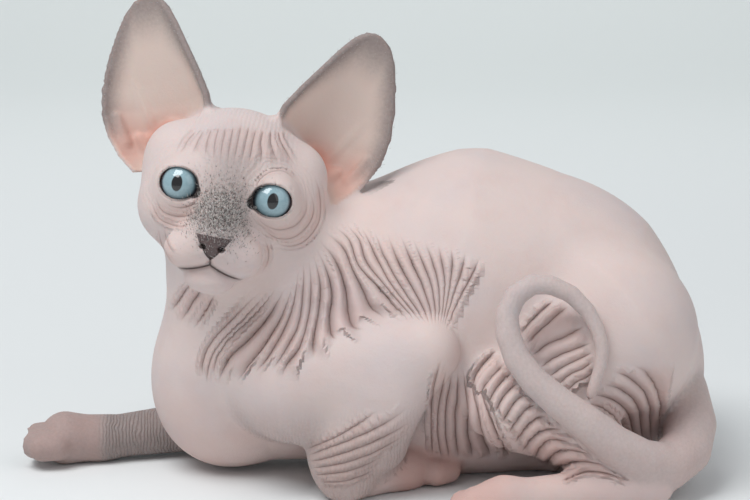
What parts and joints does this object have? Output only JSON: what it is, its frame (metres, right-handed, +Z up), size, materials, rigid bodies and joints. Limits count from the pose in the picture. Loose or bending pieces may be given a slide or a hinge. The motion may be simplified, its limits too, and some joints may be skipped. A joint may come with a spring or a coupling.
{
  "type": "sphynx kitten",
  "caption": "Hairless kitten lying down, life size, as a still museum model: head turned and raised, one foreleg stretched out, tail looped over the thigh.",
  "frame": {"origin": "middle of the outline at floor level", "axes": "+X from chest to rump, the long way of the body; +Y to the animal's right; +Z up from the floor"},
  "size_m": [0.26, 0.1686, 0.1778],
  "materials": {
    "skin": "matte, fine-wrinkled bare skin",
    "eye": "clear and wet"
  },
  "bodies": {
    "root": {"torso": "skin", "neck": "skin", "head": "skin", "ear_left": "skin", "ear_right": "skin", "eye_left": "eye", "eye_right": "eye", "left_upper_arm": "skin", "left_forearm": "skin", "left_forepaw": "skin", "right_upper_arm": "skin", "right_forearm": "skin", "right_forepaw": "skin", "left_hind_leg": "skin", "left_hind_foot": "skin", "right_hind_leg": "skin", "right_hind_foot": "skin", "tail_base": "skin", "tail_rise": "skin", "tail_bend": "skin", "tail_tip": "skin"}
  },
  "joints": []
}
